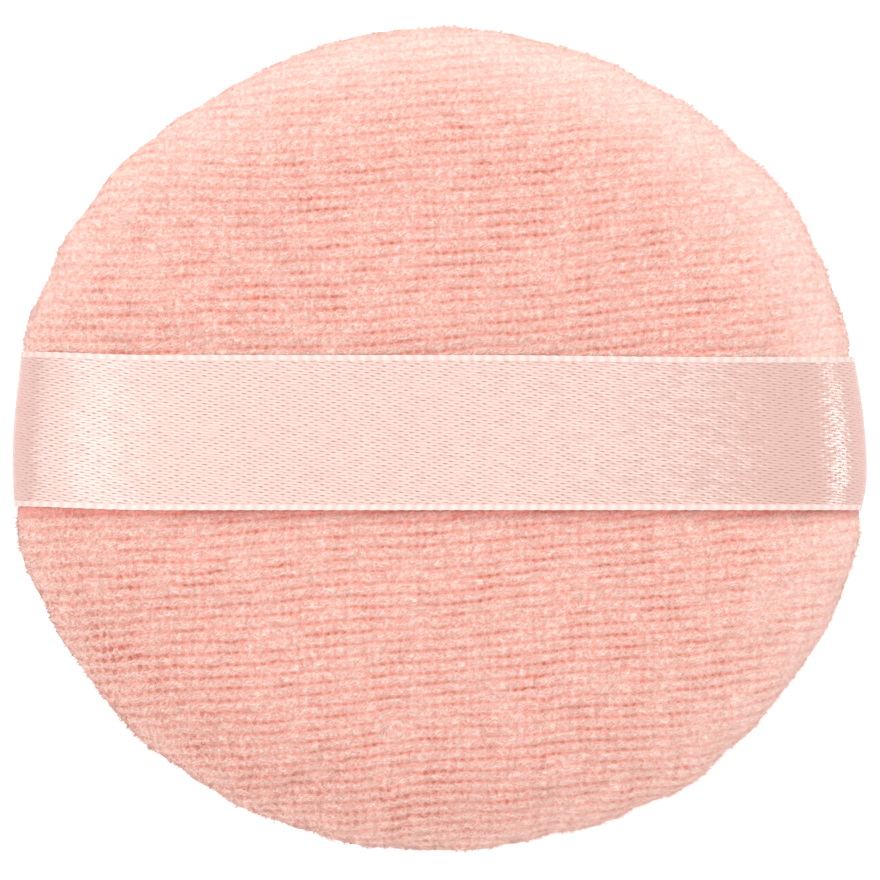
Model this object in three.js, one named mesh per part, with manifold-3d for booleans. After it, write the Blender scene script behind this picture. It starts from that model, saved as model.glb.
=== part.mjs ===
import * as THREE from "three";
import { mergeVertices } from "three/addons/utils/BufferGeometryUtils.js";
import Module from "manifold-3d";

// Round velour powder puff with a satin ribbon handle, in millimetres. The origin is the centre
// of the resting face, +X runs along the ribbon and +Z points towards the ribbon.

// Padded disc, seen from above as a slightly long ellipse
const puffLength = 81.8;
const puffBreadth = 80;
const backCrown = 8;
const faceCrown = 8;
const restingCut = 0.5;
const crownPower = 5;

// Velour panels, with the allowance that is turned in at the seam
const panelThickness = 1.8;
const allowanceThickness = 1;
const allowanceWidth = 4.5;
const seamTuck = 1.2;
const seamGap = 0.1;
const rollFillet = 0.3;

// Satin ribbon
const ribbonWidth = 15;
const ribbonThickness = 0.25;
const ribbonOffset = 0.9;
const ribbonCrownGap = 0.9;
const ribbonRimGap = 0.3;
const ribbonJoinGap = 0.3;
const slotSpare = 0.3;

// Sewing threads
const threadDiameter = 0.3;
const threadClearance = 0.05;
const stitchInset = 1.6;
const stitchLength = 5;
const loopGap = 0.25;
const turningGap = 27;
const turningGapAngle = -39;
const closingStitch = 4.5;
const stayInset = 3.2;
const stayStitch = 3;
const threadEnd = 1.3;

// Foam core
const coreClearance = 0.3;

// Fineness of the curved faces
const sides = 36;
const outerRings = 7;
const innerRings = 4;
const rollRings = 3;
const ribbonSteps = 10;
const ribbonRows = 4;

// Heights are taken from the seam, which lies at the widest part of the puff.
const rimRadius = puffLength / 2;
const narrowing = puffBreadth / puffLength;
const seamRadius = rimRadius - seamTuck;
const allowanceRadius = seamRadius - allowanceWidth;
const halfSeam = seamGap / 2;
const halfSlot = (ribbonThickness + threadDiameter + 3 * threadClearance) / 2;
const allowanceTop = halfSeam + allowanceThickness;
const rimRise = allowanceTop + rollFillet;
const stitchRadius = seamRadius - stitchInset;
const stayRadius = seamRadius - stayInset;
const tailTop = halfSlot - threadClearance;
const tailBottom = tailTop - ribbonThickness;
const overAllowance = allowanceTop + threadClearance + threadDiameter / 2;
const underTail = tailBottom - threadClearance - threadDiameter / 2;
const loopHeight = (threadClearance + threadDiameter) / 2;
const loopWidth = threadDiameter + loopGap;

const wasm = await Module();
wasm.setup();

// Turns a closed geometry into a solid, without the slivers at the poles of a turned shape.
function solidOf(geometry) {
  const bare = new THREE.BufferGeometry();
  bare.setAttribute("position", geometry.getAttribute("position"));
  bare.setIndex(geometry.index);
  const merged = mergeVertices(bare, 1e-4);
  const corners = merged.index.array;
  const triangles = [];
  for (let i = 0; i < corners.length; i += 3) {
    const [a, b, c] = corners.slice(i, i + 3);
    if (a !== b && b !== c && c !== a) {
      triangles.push(a, b, c);
    }
  }
  return new wasm.Manifold(
    new wasm.Mesh({
      numProp: 3,
      vertProperties: merged.getAttribute("position").array,
      triVerts: new Uint32Array(triangles),
    }),
  );
}

function geometryOf(solid) {
  const mesh = solid.getMesh();
  const geometry = new THREE.BufferGeometry();
  geometry.setAttribute("position", new THREE.BufferAttribute(mesh.vertProperties, 3));
  geometry.setIndex(new THREE.BufferAttribute(mesh.triVerts, 1));
  geometry.computeVertexNormals();
  return geometry;
}

function withHoles(geometry, holes) {
  const cut = (solid, hole) => solid.subtract(solidOf(hole));
  return geometryOf(holes.reduce(cut, solidOf(geometry)));
}

function polygonMesh(points, faces) {
  const geometry = new THREE.BufferGeometry();
  geometry.setFromPoints(points);
  geometry.setIndex(faces.flatMap(([a, b, c, d]) => [a, b, c, a, c, d]));
  geometry.computeVertexNormals();
  return geometry;
}

function part(name, geometry, color, roughness) {
  const material = new THREE.MeshStandardMaterial({ color, roughness, metalness: 0 });
  const mesh = new THREE.Mesh(geometry, material);
  mesh.name = name;
  return mesh;
}

// A point of the elliptical puff, by its radius along X, its angle and its height.
function onRing(radius, angle, height) {
  return new THREE.Vector3(
    radius * Math.cos(angle),
    radius * Math.sin(angle) * narrowing,
    height,
  );
}

// Turns a profile of [radius, height] pairs, which goes up its outside, about the puff's axis.
function turned(profile) {
  const points = profile.map(([radius, height]) => new THREE.Vector2(radius, height));
  const geometry = new THREE.LatheGeometry(points, sides);
  geometry.rotateX(Math.PI / 2);
  geometry.scale(1, narrowing, 1);
  return geometryOf(solidOf(geometry));
}

// The crown of a cushion from its pole out to its foot. The cut leaves a flat disc at the pole.
function crown(radius, rise, cut, foot, rings) {
  const turnAt = (height) => Math.acos((height - rimRise) / (rise - rimRise));
  const first = turnAt(rise - cut);
  const last = turnAt(foot);
  const points = [[0, rise - cut]];
  for (let ring = cut > 0 ? 0 : 1; ring <= rings; ring++) {
    const turn = first + ((last - first) * ring) / rings;
    points.push([
      radius * Math.sin(turn) ** (2 / crownPower),
      rimRise + (rise - rimRise) * Math.cos(turn),
    ]);
  }
  return points;
}

// The rolled edge of a cover, from its mouth at the seam out and up to the widest ring.
function rolledEdge(radius, mouthHeight, topHeight) {
  const points = [];
  for (let ring = rollRings; ring >= 0; ring--) {
    const turn = (Math.PI / 2) * (ring / rollRings);
    points.push([
      seamRadius + (radius - seamRadius) * Math.cos(turn),
      mouthHeight + (topHeight - mouthHeight) * (1 - Math.sin(turn)),
    ]);
  }
  return points;
}

// One velour panel as if it lay above the seam: lining side, turned-in allowance, rolled edge, pile side.
function panelProfile(rise, cut) {
  const lining = crown(rimRadius - panelThickness, rise - panelThickness, cut, rimRise, innerRings);
  const allowance = [
    [rimRadius - panelThickness - rollFillet, allowanceTop],
    [allowanceRadius, allowanceTop],
    [allowanceRadius, halfSeam],
  ];
  const pile = crown(rimRadius, rise, cut, rimRise, outerRings).reverse().slice(1);
  return [...lining, ...allowance, ...rolledEdge(rimRadius, halfSeam, rimRise), ...pile];
}

function belowSeam(profile) {
  return profile.map(([radius, height]) => [radius, -height]).reverse();
}

// Foam disc, grooved round its edge where the allowances and their stitches press into it.
function coreGeometry() {
  const groove = rimRise + threadDiameter + coreClearance;
  const radius = rimRadius - panelThickness - coreClearance;
  const inset = panelThickness + coreClearance;
  const upper = crown(radius, backCrown - inset, 0, groove, outerRings).reverse();
  const lower = crown(radius, faceCrown + restingCut - inset, restingCut, groove, outerRings).reverse();
  const grooveRadius = allowanceRadius - coreClearance;
  return turned([
    ...belowSeam([[grooveRadius, groove], ...lower]),
    [grooveRadius, groove],
    ...upper,
  ]);
}

// A thin strip from its upper and lower face, each a grid of points by step and row.
function strip(upper, lower) {
  const steps = upper.length - 1;
  const rows = upper[0].length - 1;
  const points = [...upper.flat(), ...lower.flat()];
  const top = (i, j) => i * (rows + 1) + j;
  const under = (i, j) => upper.flat().length + top(i, j);
  const faces = [];
  for (let i = 0; i < steps; i++) {
    for (let j = 0; j < rows; j++) {
      faces.push([top(i, j), top(i + 1, j), top(i + 1, j + 1), top(i, j + 1)]);
      faces.push([under(i, j), under(i, j + 1), under(i + 1, j + 1), under(i + 1, j)]);
    }
    faces.push([top(i, 0), under(i, 0), under(i + 1, 0), top(i + 1, 0)]);
    faces.push([top(i, rows), top(i + 1, rows), under(i + 1, rows), under(i, rows)]);
  }
  for (let j = 0; j < rows; j++) {
    faces.push([top(0, j), top(0, j + 1), under(0, j + 1), under(0, j)]);
    faces.push([top(steps, j), under(steps, j), under(steps, j + 1), top(steps, j + 1)]);
  }
  return polygonMesh(points, faces);
}

// The places across the puff of the rows of a strip along the ribbon.
function ribbonPlaces(width) {
  const places = [];
  for (let row = 0; row <= ribbonRows; row++) {
    places.push(ribbonOffset + width * (row / ribbonRows - 0.5));
  }
  return places;
}

// How far along X a ring of the puff reaches at a place across it.
function reach(radius, y) {
  return Math.sqrt(radius ** 2 - (y / narrowing) ** 2);
}

// One face of the ribbon over the crown, which stands off the pile by the given gaps.
function bandFace(rimGap, crownGap) {
  const radius = rimRadius + rimGap;
  const rise = backCrown + crownGap;
  const grid = [];
  for (let step = -ribbonSteps; step <= ribbonSteps; step++) {
    const turn = (Math.PI / 2) * (Math.abs(step) / ribbonSteps);
    const share = Math.sign(step) * Math.sin(turn) ** (2 / crownPower);
    grid.push(
      ribbonPlaces(ribbonWidth).map((y) => {
        const x = share * reach(radius, y);
        const out = Math.min(1, Math.hypot(x, y / narrowing) / radius);
        const height = rimRise + (rise - rimRise) * Math.sqrt(1 - out ** crownPower);
        return new THREE.Vector3(x, y, height);
      }),
    );
  }
  return grid;
}

function bandGeometry() {
  const upper = bandFace(ribbonRimGap + ribbonThickness, ribbonCrownGap + ribbonThickness);
  return strip(upper, bandFace(ribbonRimGap, ribbonCrownGap));
}

// One face of a ribbon end: round the rim, in at the seam and flat to the edge of the allowance.
// The spare is zero for the ribbon itself, and grows the shape for the slot that it lies in.
function tailFace(side, rimGap, height, spare) {
  const rows = ribbonPlaces(ribbonWidth + 2 * spare);
  const places = side > 0 ? rows : rows.reverse();
  const edge = rolledEdge(rimRadius + rimGap, height, rimRise - ribbonJoinGap).reverse();
  const curled = edge.map(([radius, level]) =>
    places.map((y) => new THREE.Vector3(side * reach(radius, y), y, level)),
  );
  const cutEnd = places.map((y) => new THREE.Vector3(side * (allowanceRadius - spare), y, height));
  return [...curled, cutEnd];
}

function tailGeometry(side, holes) {
  const outer = tailFace(side, ribbonRimGap + ribbonThickness, tailBottom, 0);
  return withHoles(strip(outer, tailFace(side, ribbonRimGap, tailTop, 0)), holes);
}

// The slot that a ribbon end and the stitch under it press into the two allowances.
function ribbonSlot(side) {
  const outer = tailFace(side, ribbonRimGap + ribbonThickness, -halfSlot, slotSpare);
  return strip(outer, tailFace(side, ribbonRimGap - threadClearance, halfSlot, slotSpare));
}

// A thread along [angle, height] places at one radius, square in section and mitred at its corners.
function threadGeometry(radius, places) {
  const half = threadDiameter / 2;
  const middle = places.map(([angle, height]) => onRing(radius, angle, height));
  const outward = places.map(([angle]) => new THREE.Vector3(Math.cos(angle), Math.sin(angle), 0));
  const normals = middle.slice(1).map((next, i) => {
    const along = next.clone().sub(middle[i]).normalize();
    return outward[i].clone().cross(along).normalize();
  });
  const points = [];
  middle.forEach((centre, i) => {
    const before = normals[Math.max(0, i - 1)];
    const after = normals[Math.min(normals.length - 1, i)];
    const mitre = before.clone().add(after).divideScalar(1 + before.dot(after));
    for (const [up, out] of [[1, 1], [-1, 1], [-1, -1], [1, -1]]) {
      const corner = centre.clone().addScaledVector(mitre, up * half);
      points.push(corner.addScaledVector(outward[i], out * half));
    }
  });
  const faces = [[0, 3, 2, 1]];
  for (let i = 0; i < middle.length - 1; i++) {
    for (let j = 0; j < 4; j++) {
      const k = (j + 1) % 4;
      faces.push([4 * i + j, 4 * i + k, 4 * i + 4 + k, 4 * i + 4 + j]);
    }
  }
  const last = 4 * (middle.length - 1);
  faces.push([last, last + 1, last + 2, last + 3]);
  return polygonMesh(points, faces);
}

// A needle hole through both allowances, long enough for what passes through it.
function needleHole(radius, angle, length) {
  const across = threadDiameter + 2 * threadClearance;
  const height = 2 * (allowanceTop + threadClearance);
  const hole = new THREE.BoxGeometry(across, length + 2 * threadClearance, height);
  hole.rotateZ(angle);
  const centre = onRing(radius, angle, 0);
  hole.translate(centre.x, centre.y, 0);
  return hole;
}

// The angles of the machine stitches, from one end of the turning gap round to the other.
function machineStitches() {
  const middle = THREE.MathUtils.degToRad(turningGapAngle);
  const start = middle + turningGap / 2 / stitchRadius;
  const sweep = 2 * Math.PI - turningGap / stitchRadius;
  const count = Math.round((sweep * stitchRadius) / stitchLength);
  const angles = [];
  for (let stitch = 0; stitch < count; stitch++) {
    angles.push(start + (sweep * (stitch + 0.5)) / count);
  }
  return { start, end: start + sweep, angles };
}

// One thread of the lockstitch: it lies on its own allowance and dips to the other at each hole.
function lockstitch(side) {
  const { start, end, angles } = machineStitches();
  const reachOut = loopWidth / 2 / stitchRadius;
  const places = [[start, side * overAllowance]];
  for (const angle of angles) {
    places.push([angle - reachOut, side * overAllowance]);
    places.push([angle - reachOut, side * loopHeight]);
    places.push([angle + reachOut, side * loopHeight]);
    places.push([angle + reachOut, side * overAllowance]);
  }
  places.push([end, side * overAllowance]);
  return threadGeometry(stitchRadius, places);
}

// The angles of a row of hand stitches about a middle, an even number of holes one stitch apart.
function handStitches(radius, middle, length, span) {
  const count = 2 * Math.floor(span / length / 2);
  const angles = [];
  for (let hole = 0; hole < count; hole++) {
    angles.push(middle + ((hole - (count - 1) / 2) * length) / radius);
  }
  return angles;
}

// A hand-sewn thread that goes down one hole and up the next, with an end left at each side.
function runningStitch(radius, angles, low) {
  const places = [[angles[0] - threadEnd / radius, overAllowance]];
  angles.forEach((angle, hole) => {
    const heights = hole % 2 === 0 ? [overAllowance, low] : [low, overAllowance];
    heights.forEach((height) => places.push([angle, height]));
  });
  places.push([angles.at(-1) + threadEnd / radius, overAllowance]);
  return threadGeometry(radius, places);
}

// Where each ribbon end crosses a ring of the puff.
function ribbonAngle(side, radius) {
  const lean = Math.asin(ribbonOffset / narrowing / radius);
  return side > 0 ? lean : Math.PI - lean;
}

const closingAngles = handStitches(
  stitchRadius,
  THREE.MathUtils.degToRad(turningGapAngle),
  closingStitch,
  turningGap,
);
const stayAngles = [-1, 1].map((side) =>
  handStitches(stayRadius, ribbonAngle(side, stayRadius), stayStitch, ribbonWidth - threadEnd),
);
const slots = [ribbonSlot(-1), ribbonSlot(1)];
const seamHoles = [
  ...machineStitches().angles.map((angle) =>
    needleHole(stitchRadius, angle, loopWidth + threadDiameter),
  ),
  ...closingAngles.map((angle) => needleHole(stitchRadius, angle, threadDiameter)),
];
const stayHoles = stayAngles
  .flat()
  .map((angle) => needleHole(stayRadius, angle, threadDiameter));
const tailHoles = [...seamHoles, ...stayHoles];

const velourPink = "#f7beb1";
const ribbonPink = "#f5d8cf";
const threadPink = "#f3b8aa";
const foamCream = "#f8efe0";

const puff = new THREE.Group();
const sewnPad = new THREE.Group();
sewnPad.position.z = faceCrown;
puff.add(sewnPad);

const backPanel = turned(panelProfile(backCrown, 0));
const facePanel = turned(belowSeam(panelProfile(faceCrown + restingCut, restingCut)));

sewnPad.add(
  part("face_panel", withHoles(facePanel, [...slots, ...seamHoles]), velourPink, 0.95),
  part("back_panel", withHoles(backPanel, [...slots, ...tailHoles]), velourPink, 0.95),
  part("sponge_core", coreGeometry(), foamCream, 0.9),
  part("ribbon_tail_left", tailGeometry(-1, tailHoles), ribbonPink, 0.35),
  part("ribbon_tail_right", tailGeometry(1, tailHoles), ribbonPink, 0.35),
  part("ribbon_stay_stitch_left", runningStitch(stayRadius, stayAngles[0], underTail), threadPink, 0.6),
  part("ribbon_stay_stitch_right", runningStitch(stayRadius, stayAngles[1], underTail), threadPink, 0.6),
  part("seam_needle_thread", lockstitch(1), threadPink, 0.6),
  part("seam_bobbin_thread", lockstitch(-1), threadPink, 0.6),
  part("closing_thread", runningStitch(stitchRadius, closingAngles, -overAllowance), threadPink, 0.6),
);

const ribbonHandle = new THREE.Group();
ribbonHandle.position.z = faceCrown;
ribbonHandle.add(part("ribbon_band", bandGeometry(), ribbonPink, 0.35));
puff.add(ribbonHandle);

export default puff;
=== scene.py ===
import math

import bpy
import numpy as np
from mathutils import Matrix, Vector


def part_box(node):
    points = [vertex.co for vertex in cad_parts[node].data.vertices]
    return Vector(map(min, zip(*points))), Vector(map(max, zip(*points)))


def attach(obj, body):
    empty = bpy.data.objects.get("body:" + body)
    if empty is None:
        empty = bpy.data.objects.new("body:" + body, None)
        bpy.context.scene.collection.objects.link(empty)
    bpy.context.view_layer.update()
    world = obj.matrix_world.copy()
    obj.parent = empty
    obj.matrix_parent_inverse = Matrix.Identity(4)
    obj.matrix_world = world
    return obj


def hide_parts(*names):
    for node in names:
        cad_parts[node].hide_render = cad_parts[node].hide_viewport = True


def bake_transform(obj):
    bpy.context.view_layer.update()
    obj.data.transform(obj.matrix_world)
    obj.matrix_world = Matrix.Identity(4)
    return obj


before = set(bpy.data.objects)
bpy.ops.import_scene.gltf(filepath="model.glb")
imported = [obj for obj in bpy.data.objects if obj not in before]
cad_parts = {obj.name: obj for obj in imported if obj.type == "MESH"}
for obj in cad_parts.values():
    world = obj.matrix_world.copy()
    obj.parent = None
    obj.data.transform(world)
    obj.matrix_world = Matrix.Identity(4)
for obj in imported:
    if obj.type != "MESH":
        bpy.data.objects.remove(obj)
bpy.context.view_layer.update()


# Sewn cover: the form that the two rounds of velour take once they are stitched together at the rim,
# turned and filled. A cloth pillow, held at its seam, is swollen from inside to find it, and the
# panels and their pile then follow its surface. Lengths are in millimetres, heights from the seam.
mm = 0.001
crown_power = 5
rim_rise = 1.35
seam_tuck = 1.2
half_seam = 0.05
allowance_width = 4.5
resting_cut = 0.5
turning_gap_angle = math.radians(-39)
cover_crown_points = 800
cover_roll_points = 80

back_low, back_high = (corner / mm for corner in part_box("back_panel"))
face_low, face_high = (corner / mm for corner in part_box("face_panel"))
rim_radius = back_high.x
narrowing = back_high.y / back_high.x
seam_radius = rim_radius - seam_tuck
allowance_radius = seam_radius - allowance_width
seam_level = (back_low.z + face_high.z) / 2
back_side = 1
face_side = -1

# The oval isn't true: waves run round the rim, each a count, a height and the angle of its crest.
# It also swells beside the ribbon's ends and dips elsewhere, each an angle, a height and a half width.
# Both die out by this power towards the crown, and from this far before the seam to the cut edge.
rim_waves = [
    (2, 0.31, -4),
    (3, 0.22, -37),
    (4, 0.23, -40),
    (6, 0.14, -30),
    (7, 0.15, -10),
    (9, 0.07, -12),
]
rim_bulges = [
    (164, 0.42, 5),
    (195, 0.4, 5),
    (145, -0.32, 5),
    (-55, 0.26, 5),
    (-75, -0.18, 5),
    (45, -0.25, 5),
    (-9.5, -0.3, 2.5),
]
wave_power = 6
wave_end = 1.0

ribbon_low, ribbon_high = (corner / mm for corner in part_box("ribbon_band"))
ribbon_width = ribbon_high.y - ribbon_low.y
ribbon_middle = (ribbon_high.y + ribbon_low.y) / 2
ribbon_press_fade = 1.5


def smooth_step(low, high, value):
    """0 up to the low value, 1 from the high one on, and a smooth rise between them."""
    share = np.clip((value - low) / (high - low), 0, 1)
    return share * share * (3 - 2 * share)


def unit(vectors):
    """The same directions, each one unit long."""
    least_length = 1e-9
    return vectors / np.maximum(np.linalg.norm(vectors, axis=-1, keepdims=True), least_length)


def crown_line(widest, rise, count):
    """A crown's section, from its middle out to where it is widest: radius and height."""
    turn = math.pi / 2 * np.linspace(0, 1, count) ** (crown_power / 2)
    radius = widest * np.sin(turn) ** (2 / crown_power)
    return radius, rim_rise + (rise - rim_rise) * np.cos(turn)


def roll_line(tuck, top, bottom, count):
    """The section that rolls in below a crown, from the rim to the seam: radius and height."""
    roll = np.linspace(0, math.pi / 2, count)
    return seam_radius + tuck * np.cos(roll), bottom + (top - bottom) * (1 - np.sin(roll))


def run_along(out, height):
    """How far each point of a section lies from its first one, measured along it."""
    return np.concatenate([[0], np.cumsum(np.hypot(np.diff(out), np.diff(height)))])


def cover_line(rise):
    """One panel's section: run along the cloth from its middle, radius and height, to its cut edge."""
    crown_radius, crown_height = crown_line(rim_radius, rise, cover_crown_points)
    roll_radius, roll_height = roll_line(seam_tuck, rim_rise, half_seam, cover_roll_points)
    radius = np.concatenate([crown_radius, roll_radius[1:], [allowance_radius]])
    height = np.concatenate([crown_height, roll_height[1:], [half_seam]])
    return run_along(radius, height), radius, height


cover_lines = {
    back_side: cover_line(back_high.z - seam_level),
    face_side: cover_line(seam_level - face_low.z + resting_cut),
}
seam_run = {side: line[0][-2] for side, line in cover_lines.items()}
edge_run = {side: line[0][-1] for side, line in cover_lines.items()}


def rim_wave(angle):
    """How far the rim stands out from the true oval at an angle round it."""
    wave = 0
    for count, tall, crest in rim_waves:
        wave = wave + tall * np.cos(count * (angle - math.radians(crest)))
    for middle, tall, half_width in rim_bulges:
        off = (np.degrees(angle) - middle + 180) % 360 - 180
        wave = wave + tall * np.exp(-((off / half_width) ** 2))
    return wave


def carried_out(angle, radius, run, run_to_seam, run_to_edge):
    """How far the rim's waves carry a place outwards, by its run along a section."""
    held = 1 - smooth_step(run_to_seam - wave_end, run_to_edge, run)
    return rim_wave(angle) * held * (radius / rim_radius) ** wave_power


def under_ribbon(angle, radius):
    """How far a place near the rim lies under the ribbon, from 0 beside it to 1 below it."""
    across = np.abs(radius * np.sin(angle) * narrowing - ribbon_middle)
    return 1 - smooth_step(ribbon_width / 2, ribbon_width / 2 + ribbon_press_fade, across)


def drawn_cover(side, x, y):
    """Where a place on the flat round of cloth lies on the cover as drawn, before it is filled."""
    run = np.hypot(x, y)
    angle = np.arctan2(y, x)
    radius = np.interp(run, cover_lines[side][0], cover_lines[side][1])
    height = np.interp(run, cover_lines[side][0], cover_lines[side][2])
    radius = radius + carried_out(angle, radius, run, seam_run[side], edge_run[side])
    level = np.maximum(seam_level + side * height, face_low.z)
    return np.stack([radius * np.cos(angle), radius * np.sin(angle) * narrowing, level], axis=-1)


def points_of(piece):
    """The places of a mesh's points, one row each."""
    points = np.empty(len(piece.data.vertices) * 3, np.float32)
    piece.data.vertices.foreach_get("co", points)
    return points.reshape(-1, 3).astype(float)


def move_points(piece, points):
    """Puts a mesh's points at these places."""
    piece.data.vertices.foreach_set("co", np.ascontiguousarray(points, np.float32).ravel())
    piece.data.update()


# The pillow is simulated ten times over size, where the cloth solver is steady, and its points are laid
# out ring by ring from the top, so that every run comes to the same form. Its cloth is gathered a little
# all round the seam and most by the turning gap, which is sewn by hand.
pillow_segments = 144
pillow_rings = 44
pillow_scale = 0.01
swelling_pressure = 4
swelling_frames = 20
swelling_quality = 6
most_swelling = 0.18
gather_reach = (1.0, 9.0)
gather_ease = 0.03
gather_all_round = 0.1
gather_focus = 10

last_ring = 2 * pillow_rings
ball_ring = np.concatenate([[0], np.repeat(np.arange(1, last_ring), pillow_segments), [last_ring]])
ball_segment = np.concatenate([[0], np.tile(np.arange(pillow_segments), last_ring - 1), [0]])
ball_angle = ball_segment / pillow_segments * math.tau
from_crown = np.minimum(ball_ring, last_ring - ball_ring)
ball_share = from_crown / pillow_rings
pillow_start = np.empty((len(ball_ring), 3))
for side, mine in ((back_side, ball_ring <= pillow_rings), (face_side, ball_ring > pillow_rings)):
    run = ball_share[mine] * seam_run[side]
    angle = ball_angle[mine]
    pillow_start[mine] = drawn_cover(side, run * np.cos(angle), run * np.sin(angle))

here = np.arange(1, len(ball_ring) - 1).reshape(-1, pillow_segments)
beside = np.roll(here, -1, axis=1)
top_point = np.zeros(pillow_segments, int)
bottom_point = np.full(pillow_segments, len(ball_ring) - 1)
pillow_faces = [
    *np.stack([top_point, here[0], beside[0]], axis=1).tolist(),
    *np.stack([here[:-1], here[1:], beside[1:], beside[:-1]], axis=2).reshape(-1, 4).tolist(),
    *np.stack([bottom_point, beside[-1], here[-1]], axis=1).tolist(),
]
pillow_mesh = bpy.data.meshes.new("pillow")
pillow_mesh.from_pydata((pillow_start * pillow_scale).tolist(), [], pillow_faces)
pillow = bpy.data.objects.new("pillow", pillow_mesh)
bpy.context.scene.collection.objects.link(pillow)
bpy.context.view_layer.objects.active = pillow

seam_ring = np.flatnonzero(ball_ring == pillow_rings)
held_group = pillow.vertex_groups.new(name="held at the seam")
held_group.add(seam_ring.tolist(), 1, "REPLACE")
gather_group = pillow.vertex_groups.new(name="gathered by the seam")
from_seam = (1 - ball_share) * seam_run[back_side]
by_gap = (0.5 + 0.5 * np.cos(ball_angle - turning_gap_angle)) ** gather_focus
gather_weight = gather_all_round + (1 - gather_all_round) * by_gap
gather_weight = (1 - smooth_step(*gather_reach, from_seam)) * gather_weight
for index, weight in enumerate(gather_weight):
    gather_group.add([index], float(weight), "REPLACE")

filling = pillow.modifiers.new("filling", "CLOTH")
filling.settings.quality = swelling_quality
filling.settings.use_pressure = True
filling.settings.uniform_pressure_force = swelling_pressure
filling.settings.effector_weights.gravity = 0
filling.settings.vertex_group_mass = held_group.name
filling.settings.vertex_group_shrink = gather_group.name
filling.settings.shrink_min = 0
filling.settings.shrink_max = -gather_ease
filling.point_cache.frame_end = swelling_frames
for step in range(1, swelling_frames + 1):
    bpy.context.scene.frame_set(step)
bpy.ops.object.modifier_apply(modifier=filling.name)
bpy.context.scene.frame_set(1)

# Only the unevenness of the swelling is kept: each ring's mean is taken out, and the rest is capped.
swelling = points_of(pillow) / pillow_scale - pillow_start
least_shift = 1e-6
swelling_grid = {}
for side in (back_side, face_side):
    mine = side * (pillow_rings - ball_ring) >= 0
    outward = np.stack([np.cos(ball_angle), np.sin(ball_angle)], axis=1)[mine]
    bulge = np.stack([np.sum(swelling[mine, :2] * outward, axis=1), swelling[mine, 2]], axis=1)
    grid = np.zeros((pillow_rings + 1, pillow_segments, 2))
    grid[from_crown[mine], ball_segment[mine]] = bulge
    grid -= grid.mean(axis=1, keepdims=True)
    grid[0] = 0
    shift = np.linalg.norm(grid, axis=2, keepdims=True)
    capped = most_swelling * np.tanh(shift / most_swelling)
    swelling_grid[side] = grid * capped / np.maximum(shift, least_shift)
bpy.data.objects.remove(pillow)


def read_between(table, row, column, next_column, down, on):
    """A table's value between four of its entries, by the shares down to the next row and on in it."""
    near = table[row, column] * (1 - on) + table[row, next_column] * on
    beyond = table[row + 1, column] * (1 - on) + table[row + 1, next_column] * on
    return near * (1 - down) + beyond * down


def swollen(side, x, y):
    """How far the filling moves a place on the cloth, read between the pillow's points."""
    last_share = 0.9999
    angle = np.arctan2(y, x)
    ring = np.clip(np.hypot(x, y) / seam_run[side], 0, last_share) * pillow_rings
    segment = angle / math.tau * pillow_segments % pillow_segments
    inner = ring.astype(int)
    first = segment.astype(int) % pillow_segments
    second = (first + 1) % pillow_segments
    down = (ring - inner)[..., None]
    on = (segment - np.floor(segment))[..., None]
    bulge = read_between(swelling_grid[side], inner, first, second, down, on)
    outward = bulge[..., 0]
    return np.stack([outward * np.cos(angle), outward * np.sin(angle), bulge[..., 1]], axis=-1)


def cover_point(side, x, y):
    """Where a place on the flat round of cloth lies on the filled cover."""
    point = drawn_cover(side, x, y) + swollen(side, x, y)
    point[..., 2] = np.maximum(point[..., 2], face_low.z)
    return point


def cover_frame(side, x, y, slope=0):
    """A place on the cover, with its directions along the knitted row, across it and outwards."""
    reach = 0.3
    climb = reach * slope
    along = cover_point(side, x + reach, y + climb) - cover_point(side, x - reach, y - climb)
    across = cover_point(side, x, y + reach) - cover_point(side, x, y - reach)
    out = unit(side * np.cross(along, across))
    along = unit(along)
    return cover_point(side, x, y), along, np.cross(out, along), out


# Velour panels: two rounds of weft-knitted cut-pile velour, one behind the ribbon and one for the face.
# Each is a knitted ground, rolled in at the rim to its seam allowance, with rows of pile tufts on it.
row_pitch = 1.19
row_spread = 0.001
tuft_pitch = 0.87
most_rows = 46
most_tufts = 62
cells_per_row = 4
cells_per_tuft = 3
cloth_thickness = 1.1
back_seed = 11
face_seed = 23
lining_share = 0.07
lining_start = 0.3
slot_depth = 0.4
resting_gap = 0.02
bake_map_half = 0.49

# The cloth lies slightly skewed: its rows lean and bow, both changing up the panel, and they ripple.
# Each ripple is a height, its turn for each millimetre along and up, and where it starts.
row_lean = (0.074, -0.00028)
row_bow = (0.0013, 0.00005)
row_ripples = [(0.1, 0.31, 0.12, 0.0), (0.08, 0.17, -0.23, 1.0)]
row_stagger = 0.12
row_stagger_turn = 0.9

# The pile: how high it stands, how deep its valleys are, and how far its tufts are strewn and open.
# A tuft is about as loose as its two neighbours: its own looseness counts this often in the three's sum,
# which is divided by its spread.
pile_height = 0.1
rim_pile = 0.18
pile_valley = 0.2
valley_beside_tuft = 0.6
valley_closed = 0.4
tuft_valley = 0.03
tuft_top = 0.3
tuft_scatter_along = 0.1
tuft_scatter_across = 0.09
tuft_unevenness = 0.03
own_looseness = 2.5
summed_looseness = 2.87
openness_middle = 0.62
openness_spread = 0.32
openness_limits = (0.1, 1.2)

# The nap and painted light: the side where a painted highlight lies on the pile, towards the key lamp,
# the painted sheen all round the rim, where the nap is ruffled, and the painted shadow under the ribbon's
# lower edge. A reach is a pair of distances before the seam, where a change begins and where it is
# complete.
lit_side_angle = math.radians(55)
lit_side_reach = (17, 5)
rim_sheen_reach = (7, 3.5)
rim_sheen_share = 0.9
ruffle_angle = math.radians(228)
ruffle_reach = (15, 7)
shaded_side_sheen_cut = 0.6
rim_reach = (9, 4)
rim_smoothing = 0.6
seam_reach = (2.5, 0.5)
press_run = (30, 38)
press_depth = 0.1
ribbon_shadow_depth = 0.75
ribbon_shadow_width = 0.75


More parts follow.
